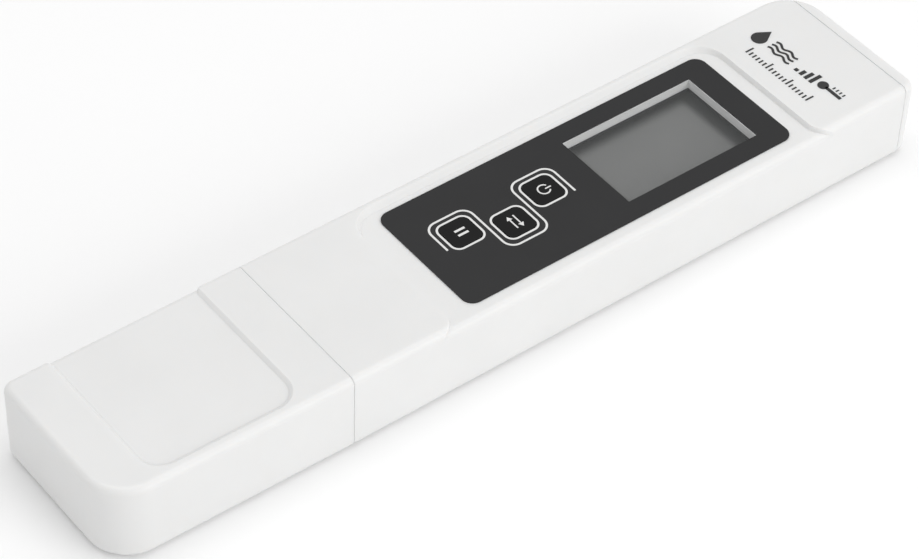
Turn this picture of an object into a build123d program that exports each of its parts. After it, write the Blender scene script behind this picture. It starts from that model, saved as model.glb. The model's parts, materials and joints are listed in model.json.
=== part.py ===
"""Pen-type digital water tester: an assembly of separate sub-parts, in millimetres.

Frame: +X runs from the probe cap's tip to the battery cap, +Z is up through the label,
and the origin is under the middle of the pen, on the surface that it lies on.
"""

import os
from math import radians, tan

from build123d import *

# Whole pen. Positions along X are taken from a datum, and the finished parts are moved to centre the pen
TIP_X = -76.1
END_X = 77.0
CENTRE_X = (TIP_X + END_X) / 2
WIDTH = 29.7
THICKNESS = 14.5
HALF_WIDTH = WIDTH / 2
LEAF_RADIUS = 7.0
SHARP_RADIUS = 2.0
FACE_RADIUS = 1.15
BASE_RADIUS = 1.8
SEAM_GAP = 0.04
SEAM_BREAK = 0.12
FIT = 0.15
CLOSE_FIT = 0.05

# Where the pen divides, along X
CAP_SEAM_X = -34.4
END_SEAM_X = 74.6
HOUSING_X = (CAP_SEAM_X + SEAM_GAP / 2, END_SEAM_X - SEAM_GAP / 2)

# The two sunk areas of the face: the cap's runs out over the +Y side and the label's over the -Y side.
# Each has its ends' tops, its long wall's distance from the edge, its depth, the taper of its ends and of
# its long wall from upright, the radius of its closed corners and that of its mouth
THUMB_AREA = {
    "x": (-68.05, -41.93), "rim": 1.7, "depth": 0.5, "taper": (52.0, 58.0), "corner": 4.2, "flare": 1.2
}
STEP_AREA = {
    "x": (-15.75, 56.28), "rim": 1.3, "depth": 0.85, "taper": (26.0, 50.0), "corner": 5.0, "flare": 3.0
}
SINK_LIFT = 0.5
FACE_Z = THICKNESS - STEP_AREA["depth"]

# Probe cap
CAP_TIP_SIDE = 14.35
CAP_WALL = 1.6
CAP_CAVITY_Z = (1.8, 12.3)
CAP_CAVITY_HALF_WIDTH = 13.1

# Housing. Its face lies a little under the caps' faces, so that the marks printed on it stand no higher
HOUSING_TOP = THICKNESS - 0.04
CAVITY_HALF_WIDTH = 13.2
CAVITY_Z = (1.6, 12.05)
CAVITY_CORNER = 1.0
RAIL_X = (-27.0, 54.0)
RAIL_DEPTH = 0.9
RAIL_HEIGHT = 0.95
RAIL_ROOT = 0.3

# Battery bay: the rounded plan corner leaves less room on the +Y side
BAY_X = 56.0
BAY_Y = (-13.2, 11.8)

# Front film and window, a little nearer the open side of their sunk area
FILM = 0.2
LABEL_X = (-11.3, 53.15)
LABEL_Y = (-12.1, 11.4)
LABEL_CORNER = 2.0
WINDOW_X = (22.3, 48.4)
WINDOW_Y = (-8.55, 7.95)
WINDOW_MARGIN = 0.12

# Keys, as plan centres
KEYS = {"hold": (-2.8, 1.2), "shift": (5.2, -1.85), "on_off": (13.2, 1.2)}
KEY_SIDE = 5.4
KEY_CORNER = 1.2
KEY_GAP = 0.12
KEY_THICKNESS = 0.5
KEY_PROUD = 0.1
KEY_TRAVEL = 0.25
KEY_SPARE = 0.15
POCKET_DEPTH = KEY_THICKNESS - FILM - KEY_PROUD + KEY_TRAVEL + KEY_SPARE
STEM_RADIUS = 1.4
STEM_FLANGE_RADIUS = 2.0
STEM_FLANGE = 0.5
SHAFT_CLEARANCE = 0.08

# Circuit board
BOARD_X = (-28.0, 55.5)
BOARD_HALF_WIDTH = 12.8
BOARD_Z = (6.5, 7.5)

# Push switches, standing on the board
SWITCH_SIDE = 5.2
SWITCH_TOP = 10.6
SWITCH_BORE_FLOOR = 9.5
PLUNGER_RADIUS = 1.25
PLUNGER_Z = (10.1, 10.95)

# Display stack, from the top down
DISPLAY_TOP = 10.75
POLARIZER = 0.18
GLASS = 0.7
GLASS_BASE = DISPLAY_TOP - POLARIZER - 2 * GLASS
DISPLAY_CENTRE = ((WINDOW_X[0] + WINDOW_X[1]) / 2, (WINDOW_Y[0] + WINDOW_Y[1]) / 2)
DISPLAY_SIZE = (30.0, 20.2)
POLARIZER_SIZE = (28.4, 18.8)
REFLECTOR_SIZE = (29.0, 15.8)
FRAME_SIZE = (33.6, 22.8)
FRAME_HOLLOW = (27.0, 15.4)
BEZEL_SIZE = (26.9, 17.4)
BEZEL_TOP = CAVITY_Z[1] - 0.15
STRIP_Y = (8.3, 9.9)
STRIP_HALF_LENGTH = 12.5

# Probe head
NECK_X = -44.3
NECK_HALF_WIDTH = CAP_CAVITY_HALF_WIDTH - FIT
NECK_Z = (CAP_CAVITY_Z[0] + FIT, CAP_CAVITY_Z[1] - FIT)
PLUG_X = -28.3
HEAD_X = -52.0
HEAD_HALF_WIDTH = 9.2
HEAD_Z = (3.5, 10.6)
EAR_X = -61.0
EAR_WIDTH = 2.2
NECK_WALL = 1.5
PROBE_Z = (HEAD_Z[0] + HEAD_Z[1]) / 2
ELECTRODE_Y = 3.7
ELECTRODE_RADIUS = 1.1
ELECTRODE_X = (-59.5, -38.0)
SENSOR_RADIUS = 0.9
SENSOR_X = (-55.5, -38.0)
POTTING_X = (-42.5, -39.5)
LEAD_RADIUS = 0.3
SEAL_X = (-38.6, -37.4)
SEAL_DEPTH = 0.5

# Amplifier chip, under the board
AMPLIFIER_CENTRE = (-19.5, 0.0)
AMPLIFIER_SIZE = (4.9, 3.9, 1.5)
LEG_PITCH = 1.27
LEG_WIDTH = 0.4

# Button cells, standing on end faces in the tray
CELL_RADIUS = 5.8
CELL_HEIGHT = 5.4
CAN_HEIGHT = 5.0
CELL_X = 64.0
CELL_PITCH = 11.9
CELL_POCKET_RADIUS = 6.0
TRAY_X = (57.4, 71.4)
TRAY_Z = (CAVITY_Z[0] + 0.12, 7.0)
TRAY_FLOOR = 2.7
STRAP = 0.2
CELL_BASE = TRAY_FLOOR + STRAP
BAY_CENTRE_Y = (BAY_Y[0] + BAY_Y[1]) / 2
CELLS = {"near": BAY_CENTRE_Y - CELL_PITCH / 2, "far": BAY_CENTRE_Y + CELL_PITCH / 2}
PLUG_END_X = TRAY_X[1]
PLUG_WALL = 1.4
CAP_SEAL_X = (72.5, 73.5)
SPRING = 0.25
SPRING_WIDTH = 4.0
SPRING_CLEARANCE = 0.12


def slab(x, y, z, corner=0.0, axis=Axis.Z):
    """A block between three pairs of limits, with the edges along one axis rounded."""
    block = Pos(x[0], y[0], z[0]) * Box(
        x[1] - x[0], y[1] - y[0], z[1] - z[0], align=(Align.MIN, Align.MIN, Align.MIN)
    )
    if corner:
        block = fillet(block.edges().filter_by(axis), corner)
    return block


def rod(x, y, z, radius):
    """A round bar along X."""
    turn = Rot(0, 90, 0)
    return Pos(x[0], y, z) * turn * Cylinder(
        radius, x[1] - x[0], align=(Align.CENTER, Align.CENTER, Align.MIN)
    )


def disc(x, y, z, radius):
    """A round bar along Z."""
    return Pos(x, y, z[0]) * Cylinder(
        radius, z[1] - z[0], align=(Align.CENTER, Align.CENTER, Align.MIN)
    )


def near_side(x, tip_side):
    """Half-width on the -Y side, which narrows evenly to tip_side at the cap's tip."""
    slope = (HALF_WIDTH - tip_side) / (CAP_SEAM_X - TIP_X)
    return HALF_WIDTH + slope * (x - CAP_SEAM_X)


def leaf_outline(inset=0.0, tip_side=HALF_WIDTH):
    """Plan outline: two diagonal corners are well rounded and the other two are nearly sharp."""
    start, stop = TIP_X + inset, END_X - inset
    side = HALF_WIDTH - inset
    tip, back = (inset - near_side(x, tip_side) for x in (TIP_X, END_X))
    outline = make_face(Polyline((start, side), (stop, side), (stop, back), (start, tip), close=True))
    sharp = outline.vertices().filter_by(lambda corner: corner.X * corner.Y < 0)
    outline = fillet(sharp, max(SHARP_RADIUS - inset, 0.3))
    round_corners = outline.vertices().filter_by(lambda corner: corner.X * corner.Y > 0)
    return fillet(round_corners, LEAF_RADIUS - inset)


def pen_block(tip_side=HALF_WIDTH, top=THICKNESS):
    """The whole pen's outer form, with its edges rounded a little more at the back than at the face."""
    block = extrude(leaf_outline(tip_side=tip_side), top)
    block = fillet(block.edges().group_by(Axis.Z)[0], BASE_RADIUS)
    return fillet(block.edges().group_by(Axis.Z)[-1], FACE_RADIUS)


def pen_slice(x, seams, tip_side=HALF_WIDTH, top=THICKNESS):
    """One length of the pen, its outer edge lightly broken where it meets a seam."""
    reach = WIDTH
    piece = pen_block(tip_side, top) & slab(x, (-reach, reach), (-reach, reach))
    for seam in seams:
        rim = piece.edges().filter_by_position(Axis.X, seam - 0.001, seam + 0.001)
        piece = fillet(rim, SEAM_BREAK)
    return piece


def grown(limits, amount):
    """A pair of limits moved outwards at both ends, or inwards where the amount is negative."""
    return (limits[0] - amount, limits[1] + amount)


def sunk_plan(area, rise, open_side, tip_side):
    """A sunk area's plan at a height over the face: closed by its ends and long wall, flared at its mouth."""
    end_run, side_run = (rise * tan(radians(taper)) for taper in area["taper"])
    start, stop = grown(area["x"], end_run)
    rim = area["rim"] - side_run
    if open_side > 0:
        first, last = (rim - near_side(x, tip_side) for x in area["x"])
    else:
        first = last = HALF_WIDTH - rim
    edge = open_side * HALF_WIDTH
    plan = make_face(
        Polyline(
            (start - WIDTH, 2 * edge),
            (start - WIDTH, edge),
            (start, edge),
            (start, first),
            (stop, last),
            (stop, edge),
            (stop + WIDTH, edge),
            (stop + WIDTH, 2 * edge),
            close=True,
        )
    )
    closed = plan.vertices().filter_by(lambda vertex: vertex.Y * open_side < 0)
    plan = fillet(closed, area["corner"] + (end_run + side_run) / 2)
    mouth = [plan.vertices().sort_by_distance((x, edge, 0))[0] for x in (start, stop)]
    return Pos(0, 0, THICKNESS + rise) * fillet(mouth, area["flare"] - end_run)


def sunk_cutter(area, open_side, tip_side=HALF_WIDTH):
    """What a sunk area takes off the face: sloping walls, down to a floor that repeats the pen's own form."""
    drop = area["depth"] + FACE_RADIUS
    walls = loft([sunk_plan(area, rise, open_side, tip_side) for rise in (-drop, SINK_LIFT)], ruled=True)
    return walls - Pos(0, 0, -area["depth"]) * pen_block(tip_side)


def frame_ring(x, y, z, depth, corner=0.0):
    """A flat ring around a rectangular plug, given its outer limits and its depth inwards."""
    return slab(x, y, z, corner, Axis.X) - slab(x, grown(y, -depth), grown(z, -depth))


def probe_cap():
    seam = CAP_SEAM_X - SEAM_GAP / 2
    outer = pen_slice((TIP_X, seam), [seam], CAP_TIP_SIDE)
    cavity = extrude(leaf_outline(CAP_WALL, CAP_TIP_SIDE), CAP_CAVITY_Z[1] - CAP_CAVITY_Z[0])
    cavity = Pos(0, 0, CAP_CAVITY_Z[0]) * cavity
    cavity &= slab(
        (TIP_X, 0), (-CAP_CAVITY_HALF_WIDTH, CAP_CAVITY_HALF_WIDTH), CAP_CAVITY_Z, CAVITY_CORNER, Axis.X
    )
    return outer - cavity - sunk_cutter(THUMB_AREA, 1, CAP_TIP_SIDE)


def board_rails():
    """Two pairs of ribs that hold the circuit board's long edges."""
    rails = []
    for side in (-1, 1):
        inner = side * (CAVITY_HALF_WIDTH - RAIL_DEPTH)
        outer = side * (CAVITY_HALF_WIDTH + RAIL_ROOT)
        y = (min(inner, outer), max(inner, outer))
        below, above = grown(BOARD_Z, CLOSE_FIT)
        rails.append(slab(RAIL_X, y, (below - RAIL_HEIGHT, below)))
        rails.append(slab(RAIL_X, y, (above, above + RAIL_HEIGHT)))
    return rails


def key_hole(x, y):
    """A pocket for the key pad and a round guide hole for its stem."""
    half = KEY_SIDE / 2 + KEY_GAP
    pocket = slab(
        (x - half, x + half), (y - half, y + half), (FACE_Z - POCKET_DEPTH, FACE_Z), KEY_CORNER + KEY_GAP
    )
    return pocket + disc(x, y, (CAVITY_Z[1] - 1, FACE_Z), STEM_RADIUS + SHAFT_CLEARANCE)


def window_opening():
    return grown(WINDOW_X, -WINDOW_MARGIN), grown(WINDOW_Y, -WINDOW_MARGIN)


def housing_tube():
    tube = pen_slice(HOUSING_X, HOUSING_X, top=HOUSING_TOP) - sunk_cutter(STEP_AREA, -1)
    electronics = slab(
        (HOUSING_X[0] - 1, BAY_X), (-CAVITY_HALF_WIDTH, CAVITY_HALF_WIDTH), CAVITY_Z, CAVITY_CORNER, Axis.X
    )
    bay = slab((BAY_X - 1, END_X), BAY_Y, CAVITY_Z, CAVITY_CORNER, Axis.X)
    tube -= electronics + bay
    for rail in board_rails():
        tube += rail
    x, y = window_opening()
    tube -= slab(x, y, (CAVITY_Z[1] - CLOSE_FIT, THICKNESS))
    for x, y in KEYS.values():
        tube -= key_hole(x, y)
    return tube


def front_label():
    z = (FACE_Z, FACE_Z + FILM)
    film = slab(LABEL_X, LABEL_Y, z, LABEL_CORNER)
    film -= slab(WINDOW_X, WINDOW_Y, z)
    half = KEY_SIDE / 2 + KEY_GAP
    for x, y in KEYS.values():
        film -= slab((x - half, x + half), (y - half, y + half), z, KEY_CORNER + KEY_GAP)
    return film


def display_window():
    return slab(WINDOW_X, WINDOW_Y, (FACE_Z, FACE_Z + FILM))


def key_pad(x, y):
    half = KEY_SIDE / 2
    top = FACE_Z + FILM + KEY_PROUD
    pad = slab((x - half, x + half), (y - half, y + half), (top - KEY_THICKNESS, top), KEY_CORNER)
    return fillet(pad.edges().group_by(Axis.Z)[-1], KEY_PROUD)


def key_stem(x, y):
    top = FACE_Z + FILM + KEY_PROUD - KEY_THICKNESS
    shaft = disc(x, y, (PLUNGER_Z[1], top), STEM_RADIUS)
    return shaft + disc(x, y, (PLUNGER_Z[1], PLUNGER_Z[1] + STEM_FLANGE), STEM_FLANGE_RADIUS)


def switch_plunger(x, y):
    return disc(x, y, PLUNGER_Z, PLUNGER_RADIUS)


def switch_base(x, y):
    half = SWITCH_SIDE / 2
    body = slab((x - half, x + half), (y - half, y + half), (BOARD_Z[1], SWITCH_TOP), 0.5)
    return body - disc(x, y, (SWITCH_BORE_FLOOR, SWITCH_TOP), PLUNGER_RADIUS + SHAFT_CLEARANCE)


def display_plate(size, z, corner=0.0):
    """A rectangular plate centred on the display."""
    x, y = ((centre - side / 2, centre + side / 2) for centre, side in zip(DISPLAY_CENTRE, size))
    return slab(x, y, z, corner)


def display_stack():
    """The display's four layers, from the top down."""
    layers = {}
    top = DISPLAY_TOP
    for name, thickness, size in (
        ("display_polarizer", POLARIZER, POLARIZER_SIZE),
        ("display_front_glass", GLASS, DISPLAY_SIZE),
        ("display_rear_glass", GLASS, DISPLAY_SIZE),
        ("display_reflector", POLARIZER, REFLECTOR_SIZE),
    ):
        layers[name] = display_plate(size, (top - thickness, top))
        top -= thickness
    return layers


def display_frame():
    """The tray that stands on the board and carries the glass and both connector strips."""
    frame = display_plate(FRAME_SIZE, (BOARD_Z[1], DISPLAY_TOP), 1.0)
    frame -= display_plate([side + 2 * CLOSE_FIT for side in DISPLAY_SIZE], (GLASS_BASE, DISPLAY_TOP))
    frame -= display_plate(FRAME_HOLLOW, (BOARD_Z[1], GLASS_BASE))
    for side in (-1, 1):
        frame -= connector_strip(side, CLOSE_FIT)
    recess = [side + 4 * CLOSE_FIT for side in REFLECTOR_SIZE]
    return frame - display_plate(recess, (GLASS_BASE - POLARIZER - CLOSE_FIT, GLASS_BASE))


def display_bezel():
    """The flat ring that holds the display down in its frame, under the housing's face."""
    bezel = display_plate(FRAME_SIZE, (DISPLAY_TOP, BEZEL_TOP), 1.0)
    return bezel - display_plate(BEZEL_SIZE, (DISPLAY_TOP, BEZEL_TOP))


def connector_strip(side, clearance=0.0):
    """A soft strip that joins the display's contacts to the board's."""
    half = STRIP_HALF_LENGTH + clearance
    x = (DISPLAY_CENTRE[0] - half, DISPLAY_CENTRE[0] + half)
    y = sorted(DISPLAY_CENTRE[1] + side * edge for edge in grown(STRIP_Y, clearance))
    return slab(x, y, (BOARD_Z[1], GLASS_BASE))


def neck_shell():
    """The neck and its plug, hollow from the board's side and closed towards the water."""
    neck = slab((NECK_X, HOUSING_X[0]), (-NECK_HALF_WIDTH, NECK_HALF_WIDTH), NECK_Z, 1.3, Axis.X)
    plug_half = CAVITY_HALF_WIDTH - CLOSE_FIT
    plug_z = grown(CAVITY_Z, -CLOSE_FIT)
    plug = slab((HOUSING_X[0], PLUG_X), (-plug_half, plug_half), plug_z, 1.1, Axis.X)
    inner_half = NECK_HALF_WIDTH - NECK_WALL
    inner_z = (NECK_Z[0] + NECK_WALL, NECK_Z[1] - NECK_WALL - 0.2)
    hollow = slab((NECK_X + 1.8, PLUG_X), (-inner_half, inner_half), inner_z, 0.6, Axis.X)
    return neck + plug - hollow


def probe_head():
    head = slab((HEAD_X, NECK_X), (-HEAD_HALF_WIDTH, HEAD_HALF_WIDTH), HEAD_Z, 1.2, Axis.X)
    body = neck_shell() + head
    for side in (-1, 1):
        y = sorted((side * HEAD_HALF_WIDTH, side * (HEAD_HALF_WIDTH - EAR_WIDTH)))
        ear = slab((EAR_X, HEAD_X + 1.0), y, (HEAD_Z[0] + 0.6, HEAD_Z[1] - 0.6))
        tips = ear.edges().filter_by(Axis.Y).group_by(Axis.X)[0]
        body += fillet(tips, 2.2)
    for side in (-1, 1):
        body -= rod((HEAD_X, NECK_X + 3), side * ELECTRODE_Y, PROBE_Z, ELECTRODE_RADIUS)
    body -= rod((HEAD_X, NECK_X + 3), 0, PROBE_Z, SENSOR_RADIUS)
    return body - neck_groove()


def neck_limits():
    return (-NECK_HALF_WIDTH, NECK_HALF_WIDTH), NECK_Z


def neck_groove():
    y, z = neck_limits()
    return frame_ring(SEAL_X, grown(y, 1), grown(z, 1), SEAL_DEPTH + 1)


def neck_seal():
    y, z = neck_limits()
    proud = FIT - CLOSE_FIT
    return frame_ring(SEAL_X, grown(y, proud), grown(z, proud), SEAL_DEPTH + proud, 1.0)


def round_nosed(x, y, radius):
    """A round bar with a domed tip at its -X end."""
    bar = rod(x, y, PROBE_Z, radius)
    tip = bar.edges().group_by(Axis.X)[0]
    return fillet(tip, radius * 0.6)


def electrode(side):
    return round_nosed(ELECTRODE_X, side * ELECTRODE_Y, ELECTRODE_RADIUS)


def probe_potting():
    """The resin that seals the electrodes and the temperature sensor behind the head."""
    half = NECK_HALF_WIDTH - NECK_WALL
    z = (NECK_Z[0] + NECK_WALL, NECK_Z[1] - NECK_WALL - 0.2)
    resin = slab(POTTING_X, (-half, half), z, 0.6, Axis.X)
    for side in (-1, 1):
        resin -= rod(POTTING_X, side * ELECTRODE_Y, PROBE_Z, ELECTRODE_RADIUS)
    return resin - rod(POTTING_X, 0, PROBE_Z, SENSOR_RADIUS)


def probe_leads():
    """Three wires from the probe pieces up to the circuit board's top face."""
    top = BOARD_Z[1] + LEAD_RADIUS
    leads = []
    for y in (-ELECTRODE_Y, 0, ELECTRODE_Y):
        path = FilletPolyline(
            (ELECTRODE_X[1], y, PROBE_Z), (-33.5, y, PROBE_Z), (-31.0, y, top), (-25.5, y, top), radius=1.5
        )
        section = Plane(origin=path @ 0, z_dir=path % 0) * Circle(LEAD_RADIUS)
        leads.append(sweep(section, path=path))
    return Compound(leads)


def main_board():
    return slab(BOARD_X, (-BOARD_HALF_WIDTH, BOARD_HALF_WIDTH), BOARD_Z, 1.0)


def controller_chip():
    """The epoxy blob over the controller, on the board's underside."""
    blob = disc(-4.0, 0.0, (BOARD_Z[0] - 1.6, BOARD_Z[0]), 5.5)
    return fillet(blob.edges().group_by(Axis.Z)[0], 1.4)


def amplifier_chip():
    x, y = AMPLIFIER_CENTRE
    length, width, height = AMPLIFIER_SIZE
    top = BOARD_Z[0] - 0.1
    body = slab((x - length / 2, x + length / 2), (y - width / 2, y + width / 2), (top - height, top))
    return chamfer(body.edges().group_by(Axis.Z)[0], 0.2)


def amplifier_legs():
    """Eight bent legs, four on each side of the amplifier chip."""
    x, y = AMPLIFIER_CENTRE
    start = AMPLIFIER_SIZE[1] / 2
    pad = BOARD_Z[0]
    profile = Polyline(
        (start, pad - 0.95),
        (start + 0.4, pad - 0.95),
        (start + 0.4, pad - 0.2),
        (start + 1.0, pad - 0.2),
        (start + 1.0, pad),
        (start + 0.2, pad),
        (start + 0.2, pad - 0.75),
        (start, pad - 0.75),
        close=True,
    )
    leg = extrude(Plane.YZ * make_face(profile), LEG_WIDTH / 2, both=True)
    legs = []
    for turn in (0, 180):
        for step in range(4):
            legs.append(Pos(x + LEG_PITCH * (step - 1.5), y, 0) * Rot(0, 0, turn) * leg)
    return Compound(legs)


def crystal_can():
    """A small round watch crystal lying along the board's underside."""
    z = BOARD_Z[0] - 1.0
    can = rod((9.0, 15.0), 6.5, z, 1.0)
    return fillet(can.edges().group_by(Axis.X)[0], 0.3)


def chip_passives():
    """Small chip resistors and capacitors on the board's underside."""
    size = (1.6, 0.8, 0.5)
    chips = []
    for x, y in (
        [(-22.0 + 3.0 * column, row) for column in range(4) for row in (-6.5, 6.5)]
        + [(9.0 + 3.2 * column, -6.0) for column in range(5)]
        + [(27.0 + 4.0 * column, 4.0) for column in range(4)]
    ):
        z = (BOARD_Z[0] - size[2], BOARD_Z[0])
        chips.append(slab((x - size[0] / 2, x + size[0] / 2), (y - size[1] / 2, y + size[1] / 2), z))
    return Compound(chips)


def contact_spring(y):
    """A leaf spring from the board's end, bent down to a point just over its cell."""
    base = BOARD_Z[1]
    point = CELL_BASE + CELL_HEIGHT + SPRING_CLEARANCE
    line = [
        (53.2, base),
        (55.4, base),
        (57.2, point + 0.25),
        (61.5, point + 0.45),
        (CELL_X, point),
        (CELL_X + 1.6, point + 0.6),
    ]
    upper = [(x, z + SPRING) for x, z in reversed(line)]
    strip = make_face(Polyline(*line, *upper, close=True))
    leaf = extrude(Plane.XZ * strip, SPRING_WIDTH / 2, both=True)
    return Pos(0, y, 0) * leaf


def battery_cap():
    """The thin end slice with the hollow plug that enters the housing."""
    seam = END_SEAM_X + SEAM_GAP / 2
    piece = pen_slice((seam, END_X), [seam])
    plug = frame_ring((PLUG_END_X, seam + 0.01), *plug_limits(), PLUG_WALL, 1.0)
    return piece + plug - cap_groove()


def plug_limits():
    return grown(BAY_Y, -FIT), grown(CAVITY_Z, -FIT)


def cap_groove():
    y, z = plug_limits()
    return frame_ring(CAP_SEAL_X, grown(y, 1), grown(z, 1), SEAL_DEPTH + 1)


def battery_seal():
    y, z = plug_limits()
    proud = FIT - CLOSE_FIT
    return frame_ring(CAP_SEAL_X, grown(y, proud), grown(z, proud), SEAL_DEPTH + proud, 0.9)


def battery_tray():
    """The tray that carries both cells, with a tongue that seats in the cap's plug."""
    y = grown(BAY_Y, -0.12)
    tray = slab(TRAY_X, y, TRAY_Z, CAVITY_CORNER, Axis.X)
    for centre in CELLS.values():
        tray -= disc(CELL_X, centre, (TRAY_FLOOR, TRAY_Z[1]), CELL_POCKET_RADIUS)
    tray -= strap_plate(0.05)
    floor = CAVITY_Z[0] + FIT + PLUG_WALL
    tongue_y = grown(BAY_Y, -FIT - PLUG_WALL - 1.0)
    tongue = slab((TRAY_X[1] - 0.5, CAP_SEAL_X[1] + 0.6), tongue_y, (floor + 0.05, floor + 1.2))
    return tray + tongue


def strap_plate(clearance=0.0):
    """A flat metal strap under both cells, let into the tray's floor."""
    half = CELL_PITCH / 2 + 3.5 + clearance
    x = grown((CELL_X - 3.0, CELL_X + 3.0), clearance)
    return slab(x, (BAY_CENTRE_Y - half, BAY_CENTRE_Y + half), (TRAY_FLOOR, CELL_BASE))


def cell_pieces(y, button_up):
    """A button cell's three pieces: the can, the gasket ring and the button in its mouth."""
    can = disc(0, 0, (0, CAN_HEIGHT), CELL_RADIUS)
    can = fillet(can.edges().group_by(Axis.Z)[0], 0.5)
    can -= disc(0, 0, (CAN_HEIGHT - 0.6, CAN_HEIGHT), CELL_RADIUS - 0.5)
    gasket = disc(0, 0, (CAN_HEIGHT - 0.6, CAN_HEIGHT + 0.1), CELL_RADIUS - 0.5)
    gasket -= disc(0, 0, (CAN_HEIGHT - 0.6, CAN_HEIGHT + 0.1), CELL_RADIUS - 0.9)
    button = disc(0, 0, (CAN_HEIGHT - 0.6, CELL_HEIGHT), CELL_RADIUS - 0.9)
    button = fillet(button.edges().group_by(Axis.Z)[-1], 0.3)
    place = Pos(CELL_X, y, CELL_BASE)
    if not button_up:
        place = Pos(CELL_X, y, CELL_BASE + CELL_HEIGHT) * Rot(180, 0, 0)
    return {"can": place * can, "gasket": place * gasket, "button": place * button}


def all_parts():
    """Every sub-part by its node name."""
    parts = {
        "housing_tube": housing_tube(),
        "front_label": front_label(),
        "display_window": display_window(),
        "display_frame": display_frame(),
        "display_bezel": display_bezel(),
        "connector_strip_near": connector_strip(-1),
        "connector_strip_far": connector_strip(1),
        "probe_cap": probe_cap(),
        "probe_head": probe_head(),
        "electrode_near": electrode(-1),
        "electrode_far": electrode(1),
        "temperature_sensor": round_nosed(SENSOR_X, 0, SENSOR_RADIUS),
        "probe_potting": probe_potting(),
        "probe_leads": probe_leads(),
        "neck_seal": neck_seal(),
        "main_board": main_board(),
        "controller_chip": controller_chip(),
        "amplifier_chip": amplifier_chip(),
        "amplifier_legs": amplifier_legs(),
        "crystal_can": crystal_can(),
        "chip_passives": chip_passives(),
        "battery_cap": battery_cap(),
        "battery_seal": battery_seal(),
        "battery_tray": battery_tray(),
        "bridge_strap": strap_plate(),
    }
    parts.update(display_stack())
    for key, (x, y) in KEYS.items():
        parts[f"key_pad_{key}"] = key_pad(x, y)
        parts[f"key_stem_{key}"] = key_stem(x, y)
        parts[f"switch_plunger_{key}"] = switch_plunger(x, y)
        parts[f"switch_base_{key}"] = switch_base(x, y)
    for place, y in CELLS.items():
        parts[f"contact_spring_{place}"] = contact_spring(y)
        for piece, solid in cell_pieces(y, button_up=place == "far").items():
            parts[f"cell_{place}_{piece}"] = solid
    return parts


os.makedirs("parts", exist_ok=True)
for node, solid in all_parts().items():
    export_step(Pos(-CENTRE_X, 0, 0) * solid, f"parts/{node}.step")
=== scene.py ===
"""Looks, printed marks, light and camera for the pen-type water tester."""

import json
import math

import bmesh
import bpy
from mathutils import Matrix, Vector


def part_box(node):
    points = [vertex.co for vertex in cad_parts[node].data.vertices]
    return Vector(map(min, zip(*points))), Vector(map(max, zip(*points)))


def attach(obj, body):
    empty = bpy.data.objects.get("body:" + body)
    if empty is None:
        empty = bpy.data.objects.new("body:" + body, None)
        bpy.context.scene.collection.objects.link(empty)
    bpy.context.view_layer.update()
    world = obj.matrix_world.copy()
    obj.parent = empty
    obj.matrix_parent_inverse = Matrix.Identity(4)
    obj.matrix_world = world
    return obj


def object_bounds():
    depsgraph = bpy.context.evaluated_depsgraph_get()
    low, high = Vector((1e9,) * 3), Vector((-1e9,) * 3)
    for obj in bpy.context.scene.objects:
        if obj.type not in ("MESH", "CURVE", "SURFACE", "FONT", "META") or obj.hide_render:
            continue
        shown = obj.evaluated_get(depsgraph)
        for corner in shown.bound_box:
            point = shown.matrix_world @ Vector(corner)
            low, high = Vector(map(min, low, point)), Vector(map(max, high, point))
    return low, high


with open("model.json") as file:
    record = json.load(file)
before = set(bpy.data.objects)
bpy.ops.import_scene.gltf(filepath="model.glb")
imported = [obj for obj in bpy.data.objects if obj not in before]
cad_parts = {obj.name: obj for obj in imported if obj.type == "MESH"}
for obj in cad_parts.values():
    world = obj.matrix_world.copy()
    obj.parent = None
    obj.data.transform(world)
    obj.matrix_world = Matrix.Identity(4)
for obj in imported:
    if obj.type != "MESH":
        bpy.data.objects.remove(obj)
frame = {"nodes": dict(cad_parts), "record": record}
cad_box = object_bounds()
MM = 0.001


# ---------------------------------------------------------------- materials


# The display's unshaded area along X and Y, and half the width of the soft edge of the painted
# shade around it, in millimetres.
UNSHADED_SIZE = (22.0, 13.9)
WALL_SHADE_BLUR = (0.9, 1.5)
# The parts of a noise's output over which a tint and a roughness change.
CLOUD = (0.35, 0.7)
GLOSS = (0.3, 0.7)
NOISE_ROUGHNESS = 0.55
# Moulding grain, and the depth of the relief in plastic and in metal, in millimetres.
MOULD_GRAIN = 0.35
MOULD_RELIEF = 0.004
METAL_RELIEF = 0.003
EVEN = (1.0, 1.0, 1.0)
SHARP_ANGLE = 28


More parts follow.
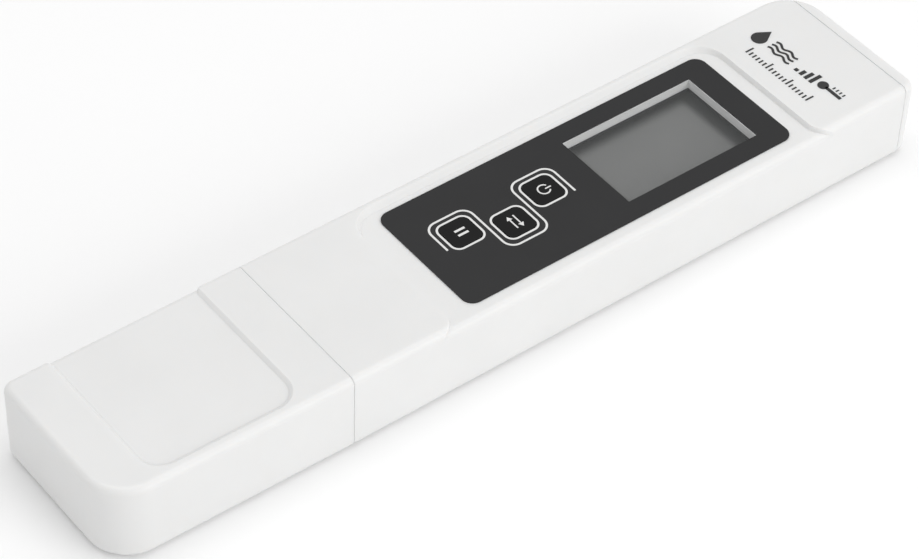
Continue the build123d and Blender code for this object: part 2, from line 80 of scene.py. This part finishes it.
class Look:
    """A node material built around one Principled shader, in object coordinates."""

    def __init__(self, name, colour, roughness, **sockets):
        self.material = bpy.data.materials.new(name)
        self.material.use_nodes = True
        self.tree = self.material.node_tree
        self.shader = self.tree.nodes["Principled BSDF"]
        self.shader.inputs["Base Color"].default_value = (*colour, 1.0)
        self.shader.inputs["Roughness"].default_value = roughness
        for socket, value in sockets.items():
            self.shader.inputs[socket.replace("_", " ")].default_value = value
        self.place = self.tree.nodes.new("ShaderNodeTexCoord").outputs["Object"]
        self.height = None

    def link(self, output, target):
        self.tree.links.new(output, target)

    def node(self, kind, **values):
        made = self.tree.nodes.new(kind)
        for key, value in values.items():
            setattr(made, key, value)
        return made

    def noise(self, grain_mm, detail=3.0, stretch=EVEN):
        """Noise with features about grain_mm across, finer along an axis with a larger stretch."""
        mapping = self.node("ShaderNodeMapping")
        mapping.inputs["Scale"].default_value = stretch
        self.link(self.place, mapping.inputs["Vector"])
        noise = self.node("ShaderNodeTexNoise")
        noise.inputs["Scale"].default_value = 1.0 / (grain_mm * MM)
        noise.inputs["Detail"].default_value = detail
        noise.inputs["Roughness"].default_value = NOISE_ROUGHNESS
        self.link(mapping.outputs["Vector"], noise.inputs["Vector"])
        return noise.outputs["Fac"]

    def math(self, operation, first, second=None):
        """One arithmetic step on a value, with a number or another value."""
        step = self.node("ShaderNodeMath", operation=operation)
        self.link(first, step.inputs[0])
        if isinstance(second, float):
            step.inputs[1].default_value = second
        elif second is not None:
            self.link(second, step.inputs[1])
        return step.outputs["Value"]

    def spread(self, source, low, high, to_low=0.0, to_high=1.0, shape="LINEAR"):
        """Maps a value's range low..high to to_low..to_high."""
        ranged = self.node("ShaderNodeMapRange", interpolation_type=shape)
        sockets = ("From Min", "From Max", "To Min", "To Max")
        for socket, value in zip(sockets, (low, high, to_low, to_high)):
            ranged.inputs[socket].default_value = value
        self.link(source, ranged.inputs["Value"])
        return ranged.outputs["Result"]

    def tint(self, factor, other):
        """Blends the base colour towards another by a factor."""
        mix = self.node("ShaderNodeMix", data_type="RGBA")
        base = self.shader.inputs["Base Color"]
        if base.is_linked:
            self.link(base.links[0].from_socket, mix.inputs["A"])
        else:
            mix.inputs["A"].default_value = base.default_value
        mix.inputs["B"].default_value = (*other, 1.0)
        self.link(factor, mix.inputs["Factor"])
        self.link(mix.outputs["Result"], base)

    def rough(self, factor, low, high):
        """Varies the roughness between two values by a factor."""
        self.link(self.spread(factor, *GLOSS, low, high), self.shader.inputs["Roughness"])

    def bump(self, source, depth_mm, strength=1.0):
        """Adds one layer of relief."""
        bump = self.node("ShaderNodeBump")
        bump.inputs["Strength"].default_value = strength
        bump.inputs["Distance"].default_value = depth_mm * MM
        self.link(source, bump.inputs["Height"])
        if self.height is not None:
            self.link(self.height, bump.inputs["Normal"])
        self.height = bump.outputs["Normal"]
        self.link(self.height, self.shader.inputs["Normal"])


def moulded(name, colour, roughness, soft=0.0):
    """Injection-moulded plastic: a fine even grain, faint cloudiness and slightly uneven gloss."""
    look = Look(name, colour, roughness, IOR=1.53)
    if soft:
        look.shader.inputs["Subsurface Weight"].default_value = soft
        look.shader.inputs["Subsurface Radius"].default_value = (1.0, 0.95, 0.9)
        look.shader.inputs["Subsurface Scale"].default_value = 0.8 * MM
    cloud = look.noise(16.0, 4.0)
    look.tint(look.spread(cloud, *CLOUD, 0.0, 0.35), [0.93 * c for c in colour])
    look.rough(look.noise(5.0, 3.0), roughness - 0.05, roughness + 0.06)
    look.bump(look.noise(6.0, 2.0), MOULD_RELIEF * 2.5, 0.25)
    look.bump(look.noise(MOULD_GRAIN, 2.0), MOULD_RELIEF, 0.35)
    return look.material


def film(name, colour, roughness, specular=0.5):
    """Printed polyester film: even colour under a fine matt coating."""
    look = Look(name, colour, roughness, IOR=1.4, Specular_IOR_Level=specular)
    look.tint(look.spread(look.noise(9.0, 4.0), *CLOUD, 0.0, 0.5), [1.25 * c for c in colour])
    look.rough(look.noise(3.0, 3.0), roughness - 0.04, roughness + 0.05)
    look.bump(look.noise(0.09, 2.0), 0.002, 0.5)
    look.bump(look.noise(11.0, 1.0), 0.02, 0.15)
    return look.material


def ink(name, colour):
    """Screen-printed ink: slightly uneven cover with a soft gloss."""
    look = Look(name, colour, 0.5, IOR=1.48)
    thin = look.spread(look.noise(0.25, 3.0), 0.4, 0.75, 0.0, 0.3)
    look.tint(thin, [0.75 * c + 0.02 for c in colour])
    look.rough(look.noise(0.5, 2.0), 0.42, 0.6)
    look.bump(look.noise(0.12, 2.0), 0.003, 0.4)
    return look.material


def clear_film(name):
    """Clear hard-coated film over the display."""
    look = Look(name, (0.9, 0.92, 0.93), 0.12, IOR=1.5, Alpha=0.03)
    look.rough(look.noise(4.0, 2.0), 0.08, 0.16)
    look.bump(look.noise(9.0, 2.0), 0.01, 0.2)
    return look.material


def polarizer(name):
    """The display's face: a satin grey sheet, light in the middle, with a soft dark border of
    painted shade where the window's walls shade it.
    """
    # The dark base colour is painted shade: it stands for the shadow that the window's walls cast
    # on the display's border.
    look = Look(name, (0.028, 0.029, 0.028), 0.34, IOR=1.45)
    low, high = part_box("display_polarizer")
    middle = (low + high) / 2
    split = look.node("ShaderNodeSeparateXYZ")
    look.link(look.place, split.inputs["Vector"])
    unshaded = None
    for axis, size, blur in zip("XY", UNSHADED_SIZE, WALL_SHADE_BLUR):
        half = size / 2
        shift = look.math("SUBTRACT", split.outputs[axis], getattr(middle, axis.lower()))
        away = look.math("ABSOLUTE", shift)
        inside = look.spread(away, (half - blur) * MM, (half + blur) * MM, 1.0, 0.0, "SMOOTHSTEP")
        unshaded = inside if unshaded is None else look.math("MULTIPLY", unshaded, inside)
    # Only the middle gets the display's light grey; the dark border left around it is painted
    # shade.
    look.tint(unshaded, (0.146, 0.149, 0.146))
    look.tint(look.spread(look.noise(14.0, 3.0), *CLOUD, 0.0, 0.12), (0.04, 0.042, 0.04))
    look.rough(look.noise(2.0, 2.0), 0.28, 0.4)
    look.bump(look.noise(7.0, 1.0), 0.01, 0.1)
    return look.material


def glass(name):
    """A plate of the display's clear glass."""
    look = Look(name, (0.85, 0.9, 0.88), 0.03, IOR=1.52, Transmission_Weight=0.9)
    look.rough(look.noise(6.0, 2.0), 0.02, 0.06)
    return look.material


def metal(name, colour, roughness, stretch=EVEN):
    """Bare or plated metal with fine drawn or tumbled marks."""
    look = Look(name, colour, roughness, Metallic=1.0)
    look.tint(look.spread(look.noise(3.0, 4.0), *CLOUD, 0.0, 0.4), [0.86 * c for c in colour])
    marks = look.noise(0.25, 3.0, stretch)
    look.rough(marks, roughness - 0.06, roughness + 0.08)
    look.bump(marks, METAL_RELIEF, 0.35)
    return look.material


def rubber(name, colour, roughness=0.7):
    """Soft matt rubber with a fine tooth."""
    look = Look(name, colour, roughness, IOR=1.5, Sheen_Weight=0.05)
    look.tint(look.spread(look.noise(2.5, 4.0), *CLOUD, 0.0, 0.5), [1.35 * c for c in colour])
    look.rough(look.noise(1.0, 3.0), roughness - 0.08, roughness + 0.1)
    look.bump(look.noise(0.12, 3.0), 0.006, 0.5)
    return look.material


def laminate(name):
    """Circuit board: green mask over a faint weave."""
    look = Look(name, (0.015, 0.13, 0.05), 0.32, IOR=1.55, Coat_Weight=0.3, Coat_Roughness=0.2)
    weave = look.node("ShaderNodeTexWave", wave_type="BANDS", bands_direction="DIAGONAL")
    weave.inputs["Scale"].default_value = 900.0
    weave.inputs["Distortion"].default_value = 0.6
    look.link(look.place, weave.inputs["Vector"])
    look.tint(look.spread(weave.outputs["Fac"], 0.0, 1.0, 0.0, 0.25), (0.03, 0.2, 0.08))
    look.tint(look.spread(look.noise(7.0, 4.0), 0.45, 0.6, 0.0, 0.35), (0.01, 0.09, 0.035))
    look.rough(look.noise(2.0, 2.0), 0.26, 0.4)
    look.bump(weave.outputs["Fac"], 0.004, 0.3)
    return look.material


def make_materials():
    """One Blender material for each of the record's material slots."""
    return {
        "white_plastic": moulded("white_abs", (0.80, 0.80, 0.795), 0.40, soft=0.6),
        "probe_plastic": moulded("probe_abs", (0.74, 0.74, 0.73), 0.45, soft=0.05),
        "bezel_plastic": moulded("bezel_abs", (0.022, 0.022, 0.022), 0.45),
        "frame_plastic": moulded("frame_abs", (0.62, 0.62, 0.61), 0.5),
        "stem_plastic": moulded("stem_abs", (0.68, 0.68, 0.67), 0.5),
        "tray_plastic": moulded("tray_abs", (0.030, 0.030, 0.032), 0.5),
        "plunger_plastic": moulded("plunger_nylon", (0.02, 0.02, 0.02), 0.5),
        "switch_plastic": moulded("switch_nylon", (0.03, 0.03, 0.03), 0.55),
        "gasket_plastic": moulded("gasket_nylon", (0.03, 0.09, 0.05), 0.55),
        "black_film": film("label_film", (0.0135, 0.0135, 0.0143), 0.42),
        "key_film": film("key_film", (0.002, 0.002, 0.0022), 0.40, 0.3),
        "clear_film": clear_film("window_film"),
        "display_face": polarizer("display_face"),
        "display_back": moulded("display_reflector", (0.4, 0.41, 0.4), 0.35),
        "display_glass": glass("display_glass"),
        "strip_rubber": rubber("strip_rubber", (0.42, 0.12, 0.18), 0.6),
        "seal_rubber": rubber("seal_rubber", (0.018, 0.018, 0.018)),
        "electrode_metal": metal("electrode_titanium", (0.50, 0.485, 0.47), 0.36, (1.0, 4.0, 4.0)),
        "sensor_metal": metal("sensor_steel", (0.62, 0.61, 0.6), 0.3, (1.0, 4.0, 4.0)),
        "lead_metal": metal("tinned_copper", (0.72, 0.55, 0.42), 0.35),
        "leg_metal": metal("tinned_leg", (0.68, 0.67, 0.65), 0.35),
        "spring_metal": metal("plated_spring", (0.70, 0.62, 0.42), 0.3, (1.0, 5.0, 1.0)),
        "cell_steel": metal("cell_nickel", (0.70, 0.69, 0.67), 0.22, (2.0, 2.0, 0.5)),
        "potting_resin": moulded("potting_resin", (0.02, 0.02, 0.022), 0.2),
        "board_laminate": laminate("board_laminate"),
        "chip_epoxy": moulded("chip_epoxy", (0.015, 0.015, 0.016), 0.5),
        "passive_ceramic": moulded("passive_ceramic", (0.28, 0.2, 0.12), 0.5),
    }


def dress_nodes(materials):
    """Gives every CAD node the material of its slot, and smooth shading across its curved faces."""
    slot_of = {part["node"]: part["material_slot"] for part in frame["record"]["subparts"]}
    for name, node in frame["nodes"].items():
        node.data.materials.clear()
        node.data.materials.append(materials[slot_of[name]])
        node.data.polygons.foreach_set("use_smooth", [True] * len(node.data.polygons))
        node.data.set_sharp_from_angle(angle=math.radians(SHARP_ANGLE))


# ---------------------------------------------------------------- printed marks


# How far ink stands over a face and how far it is sunk into it, in metres.
INK_HEIGHT = 0.03 * MM
INK_SINK = 0.01 * MM
# Sizes of the printed marks, in millimetres.
LINE_WIDTH = 0.35
RING_MARGIN = 0.3
RING_CORNER = 1.45
GUIDE_MARGIN = 1.28
GUIDE_CORNER = 1.9
GUIDE_DROP = 0.15
GUIDE_START = 2.0
GUIDE_END = 2.95
TURN_STEPS = 8
SYMBOL_STROKE = 0.24
SYMBOL_OFFSET = 0.15
PAUSE_STROKE = 0.42
WAVE_STROKE = 0.42
WAVE_HEIGHT = 0.26
WAVE_PITCH = 0.95
WAVE_STEPS = 28
BAR_PITCH = 1.15
BAR_STROKE = 0.7
BAR_FOOT = -1.3
BAR_RISE = 0.62
STEM_STROKE = 0.62
BULB_RADIUS = 0.95
MARK_STROKE = 0.26
MARK_PITCH = 0.75
# The middles of the pictogram row and of the tick scale, from the label's end and the pen's middle.
ROW_X, ROW_Y = 11.15, -0.25
SCALE_X, SCALE_Y = 7.25, -0.2
TICKS = 19
TICKS_PER_LONG = 6
TICK_PITCH = 0.8
TICK_STROKE = 0.3
TICK_FOOT = -0.85
LONG_TICK = 1.7
SHORT_TICK = 0.95
# Marks are drawn upright and turned so that their top points along +X, in degrees.
READING_TURN = -90.0


def arc(centre, radius, start, end, steps):
    """Points along an arc, angles in degrees."""
    turn = [math.radians(start + (end - start) * i / steps) for i in range(steps + 1)]
    x, y = centre
    return [Vector((x + radius * math.cos(a), y + radius * math.sin(a))) for a in turn]


def rounded_path(corners, radius, closed=False):
    """A path through the corners with each turn as a smooth arc."""
    count = len(corners)
    corners = [Vector(c) for c in corners]
    path = []
    for i, corner in enumerate(corners):
        if not closed and i in (0, count - 1):
            path.append(corner)
            continue
        back = (corners[i - 1] - corner).normalized()
        on = (corners[(i + 1) % count] - corner).normalized()
        half = back.angle(on) / 2
        reach = radius / math.tan(half)
        middle = corner + (back + on).normalized() * (radius / math.sin(half))
        first = corner + back * reach - middle
        swing = first.angle_signed(corner + on * reach - middle)
        for step in range(TURN_STEPS + 1):
            path.append(middle + Matrix.Rotation(-swing * step / TURN_STEPS, 2) @ first)
    return path


def band(path, width, closed=False):
    """The outline of a flat ribbon: pairs of points, left and right of a path."""
    pairs = []
    count = len(path)
    for i, point in enumerate(path):
        before = path[i - 1] if i or closed else point
        after = path[(i + 1) % count] if i < count - 1 or closed else point
        along = (after - before).normalized()
        side = Vector((-along.y, along.x)) * width / 2
        pairs.append((point + side, point - side))
    return pairs


class Print:
    """One printed mark: flat raised shapes gathered into one closed mesh."""

    def __init__(self, name, base):
        self.name = name
        self.base = base - INK_SINK
        self.top = base + INK_HEIGHT
        self.mesh = bmesh.new()

    def lift(self, point, z):
        return self.mesh.verts.new((point.x * MM, point.y * MM, z))

    def line(self, path, width, closed=False):
        """A stroke of even width along a path, in millimetres."""
        rows = []
        for left, right in band(path, width, closed):
            rows.append([self.lift(left, self.top), self.lift(right, self.top),
                         self.lift(right, self.base), self.lift(left, self.base)])
        spans = list(zip(rows, rows[1:]))
        if closed:
            spans.append((rows[-1], rows[0]))
        for a, b in spans:
            for i in range(4):
                j = (i + 1) % 4
                self.mesh.faces.new((a[i], b[i], b[j], a[j]))
        if not closed:
            self.mesh.faces.new(rows[0])
            self.mesh.faces.new(reversed(rows[-1]))

    def shape(self, outline):
        """A filled shape inside an outline."""
        top = [self.lift(p, self.top) for p in outline]
        low = [self.lift(p, self.base) for p in outline]
        self.mesh.faces.new(top)
        self.mesh.faces.new(reversed(low))
        for i in range(len(outline)):
            j = (i + 1) % len(outline)
            self.mesh.faces.new((top[j], top[i], low[i], low[j]))

    def finish(self, body, material):
        """Turns the mark into a piece that rides with a body."""
        bmesh.ops.recalc_face_normals(self.mesh, faces=self.mesh.faces)
        data = bpy.data.meshes.new(self.name)
        self.mesh.to_mesh(data)
        self.mesh.free()
        data.materials.append(material)
        piece = bpy.data.objects.new(self.name, data)
        bpy.context.scene.collection.objects.link(piece)
        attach(piece, body)


def reading(centre):
    """Places a mark so that it reads upright when the pen is held with its battery cap up."""
    rotation = Matrix.Rotation(math.radians(READING_TURN), 2)
    return lambda points: [rotation @ Vector(p) + Vector(centre) for p in points]


def centre_of(node):
    """A node's middle in plan, in millimetres, and the two corners of its box."""
    low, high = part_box(node)
    return Vector(((low.x + high.x) / 2 / MM, (low.y + high.y) / 2 / MM)), low, high


def key_ring(key, white):
    """The white outline around a key."""
    centre, low, high = centre_of(f"key_pad_{key}")
    half = (high.x - low.x) / 2 / MM + RING_MARGIN
    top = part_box("front_label")[1].z
    corners = [centre + Vector(c) * half for c in ((-1, -1), (1, -1), (1, 1), (-1, 1))]
    ring = Print(f"ring_{key}", top)
    ring.line(rounded_path(corners, RING_CORNER, True), LINE_WIDTH, True)
    ring.finish("housing", white)


def guide_line(white):
    """The fine line that winds between the three keys."""
    hold, low, high = centre_of("key_pad_hold")
    shift = centre_of("key_pad_shift")[0]
    power = centre_of("key_pad_on_off")[0]
    reach = (high.x - low.x) / 2 / MM + GUIDE_MARGIN
    top = hold.y + reach
    bottom = shift.y - reach - GUIDE_DROP
    first_gap = (hold.x + shift.x) / 2
    second_gap = (shift.x + power.x) / 2
    corners = [
        (hold.x - reach, hold.y - GUIDE_START),
        (hold.x - reach, top),
        (first_gap, top),
        (first_gap, bottom),
        (second_gap, bottom),
        (second_gap, top),
        (power.x + reach, top),
        (power.x + reach, power.y - GUIDE_END),
    ]
    line = Print("guide_line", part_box("front_label")[1].z)
    line.line(rounded_path(corners, GUIDE_CORNER), LINE_WIDTH)
    line.finish("housing", white)


def power_mark(mark, place):
    """An open ring with an upright stroke in its gap."""
    mark.line(place(arc((0, 0), 1.0, 122, 418, 24)), SYMBOL_STROKE)
    mark.line(place([(0, 0.25), (0, 1.35)]), SYMBOL_STROKE)


def swap_mark(mark, place):
    """Two arrows that point opposite ways."""
    for way in (-1, 1):
        y = 0.52 * way
        mark.line(place([(-1.35 * way, y), (0.75 * way, y)]), SYMBOL_STROKE)
        mark.shape(place([(0.7 * way, y - 0.5), (0.7 * way, y + 0.5), (1.5 * way, y)]))


def pause_mark(mark, place):
    """Two upright bars."""
    for x in (-0.5, 0.5):
        mark.line(place([(x, -0.95), (x, 0.95)]), PAUSE_STROKE)


def key_marks(white):
    """One plain symbol on each key, riding with the key."""
    symbols = {"on_off": power_mark, "shift": swap_mark, "hold": pause_mark}
    for key, draw in symbols.items():
        centre, _, high = centre_of(f"key_pad_{key}")
        mark = Print(f"mark_{key}", high.z)
        draw(mark, reading(centre + Vector((SYMBOL_OFFSET, 0.0))))
        mark.finish(f"key_{key}", white)


def droplet(x, y, size):
    """A drop's outline: a point above a round base."""
    base = arc((x, y - 0.16 * size), 0.36 * size, -205, 25, 20)
    return base + [Vector((x, y + 0.52 * size))]


def waves(mark, place, x, width):
    """Three wavy lines of two waves each, one above another."""
    for row in (-WAVE_PITCH, 0.0, WAVE_PITCH):
        path = []
        for i in range(WAVE_STEPS + 1):
            along = i / WAVE_STEPS
            rise = WAVE_HEIGHT * math.sin(along * 4 * math.pi)
            path.append((x + width * (along - 0.5), row + rise))
        mark.line(place(path), WAVE_STROKE)


def bars(mark, place, x):
    """Four bars, each taller than the one before."""
    for i in range(4):
        left = x + BAR_PITCH * (i - 1.5)
        mark.line(place([(left, BAR_FOOT), (left, -0.6 + BAR_RISE * i)]), BAR_STROKE)


def thermometer(mark, place, x):
    """A thermometer on its side: a bulb, a stem and four marks along it."""
    mark.line(place([(x - 0.9, 0.0), (x + 2.6, 0.0)]), STEM_STROKE)
    mark.shape(place(arc((x - 1.5, 0.0), BULB_RADIUS, 0, 345, 23)))
    for i in range(4):
        tick = x + 0.1 + MARK_PITCH * i
        mark.line(place([(tick, 0.62), (tick, 1.25)]), MARK_STROKE)


def end_strip(black):
    """Plain pictograms and a tick scale printed between the label and the battery cap."""
    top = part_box("housing_tube")[1].z
    label_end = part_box("front_label")[1].x / MM
    row = Print("pictogram_row", top)
    place = reading((label_end + ROW_X, ROW_Y))
    row.shape(place(droplet(-8.6, 0.0, 3.9)))
    waves(row, place, -3.6, 5.2)
    bars(row, place, 2.5)
    thermometer(row, place, 7.6)
    row.finish("housing", black)
    scale = Print("tick_scale", top)
    place = reading((label_end + SCALE_X, SCALE_Y))
    for i in range(TICKS):
        x = TICK_PITCH * (i - TICKS // 2)
        height = SHORT_TICK if i % TICKS_PER_LONG else LONG_TICK
        scale.line(place([(x, TICK_FOOT), (x, TICK_FOOT + height)]), TICK_STROKE)
    scale.finish("housing", black)


# ---------------------------------------------------------------- stage, light and camera


FLOOR_SIZE = 6.0
FLOOR_GAP = 0.02 * MM


def floor():
    """A plain pale surface under the pen."""
    mesh = bmesh.new()
    bmesh.ops.create_grid(mesh, x_segments=1, y_segments=1, size=FLOOR_SIZE / 2)
    data = bpy.data.meshes.new("floor")
    mesh.to_mesh(data)
    mesh.free()
    plane = bpy.data.objects.new("floor", data)
    plane.location.z = cad_box[0].z - FLOOR_GAP
    bpy.context.scene.collection.objects.link(plane)
    look = Look("floor_white", (0.97, 0.97, 0.97), 0.75)
    look.tint(look.spread(look.noise(60.0, 3.0), *CLOUD, 0.0, 0.5), (0.955, 0.955, 0.955))
    data.materials.append(look.material)


def area_light(name, place, size, power):
    """A soft rectangular lamp aimed at the origin."""
    data = bpy.data.lights.new(name, "AREA")
    data.shape = "RECTANGLE"
    data.size, data.size_y = size
    data.energy = power
    lamp = bpy.data.objects.new(name, data)
    bpy.context.scene.collection.objects.link(lamp)
    lamp.location = place
    lamp.rotation_mode = "QUATERNION"
    lamp.rotation_quaternion = (-Vector(place)).to_track_quat("-Z", "Y")


def studio():
    """Soft even light: a pale surround, a wide panel overhead and one from the near side."""
    world = bpy.data.worlds.new("studio")
    world.use_nodes = True
    surround = world.node_tree.nodes["Background"].inputs
    surround["Color"].default_value = (1.0, 1.0, 1.0, 1.0)
    surround["Strength"].default_value = 0.66
    bpy.context.scene.world = world
    area_light("overhead", (0.1, 0.1, 0.9), (0.9, 0.7), 2.7)
    area_light("near_side", (0.25, -0.9, 0.45), (0.9, 0.5), 3.3)
    bpy.context.scene.view_settings.view_transform = "Standard"


def camera():
    """A long lens looking down at the label from beyond the probe cap."""
    aim = Vector((-5.35, -1.55, 7.25)) * MM
    distance, azimuth, elevation, roll = 489.0 * MM, 39.0, 44.7, 2.15
    a, e = math.radians(azimuth), math.radians(elevation)
    back = Vector((-math.sin(a) * math.cos(e), -math.cos(a) * math.cos(e), math.sin(e)))
    data = bpy.data.cameras.new("camera")
    data.lens = 125.8
    data.clip_start, data.clip_end = 0.01, 20.0
    eye = bpy.data.objects.new("camera", data)
    bpy.context.scene.collection.objects.link(eye)
    eye.rotation_mode = "QUATERNION"
    eye.location = aim + back * distance
    level = (-back).to_track_quat("-Z", "Y").to_matrix()
    turned = level @ Matrix.Rotation(math.radians(roll), 3, "Z")
    eye.rotation_quaternion = turned.to_quaternion()
    bpy.context.scene.camera = eye


materials = make_materials()
dress_nodes(materials)
white_ink = ink("white_ink", (0.78, 0.78, 0.77))
black_ink = ink("black_ink", (0.02, 0.02, 0.02))
for key in ("hold", "shift", "on_off"):
    key_ring(key, white_ink)
guide_line(white_ink)
key_marks(white_ink)
end_strip(black_ink)
floor()
studio()
camera()
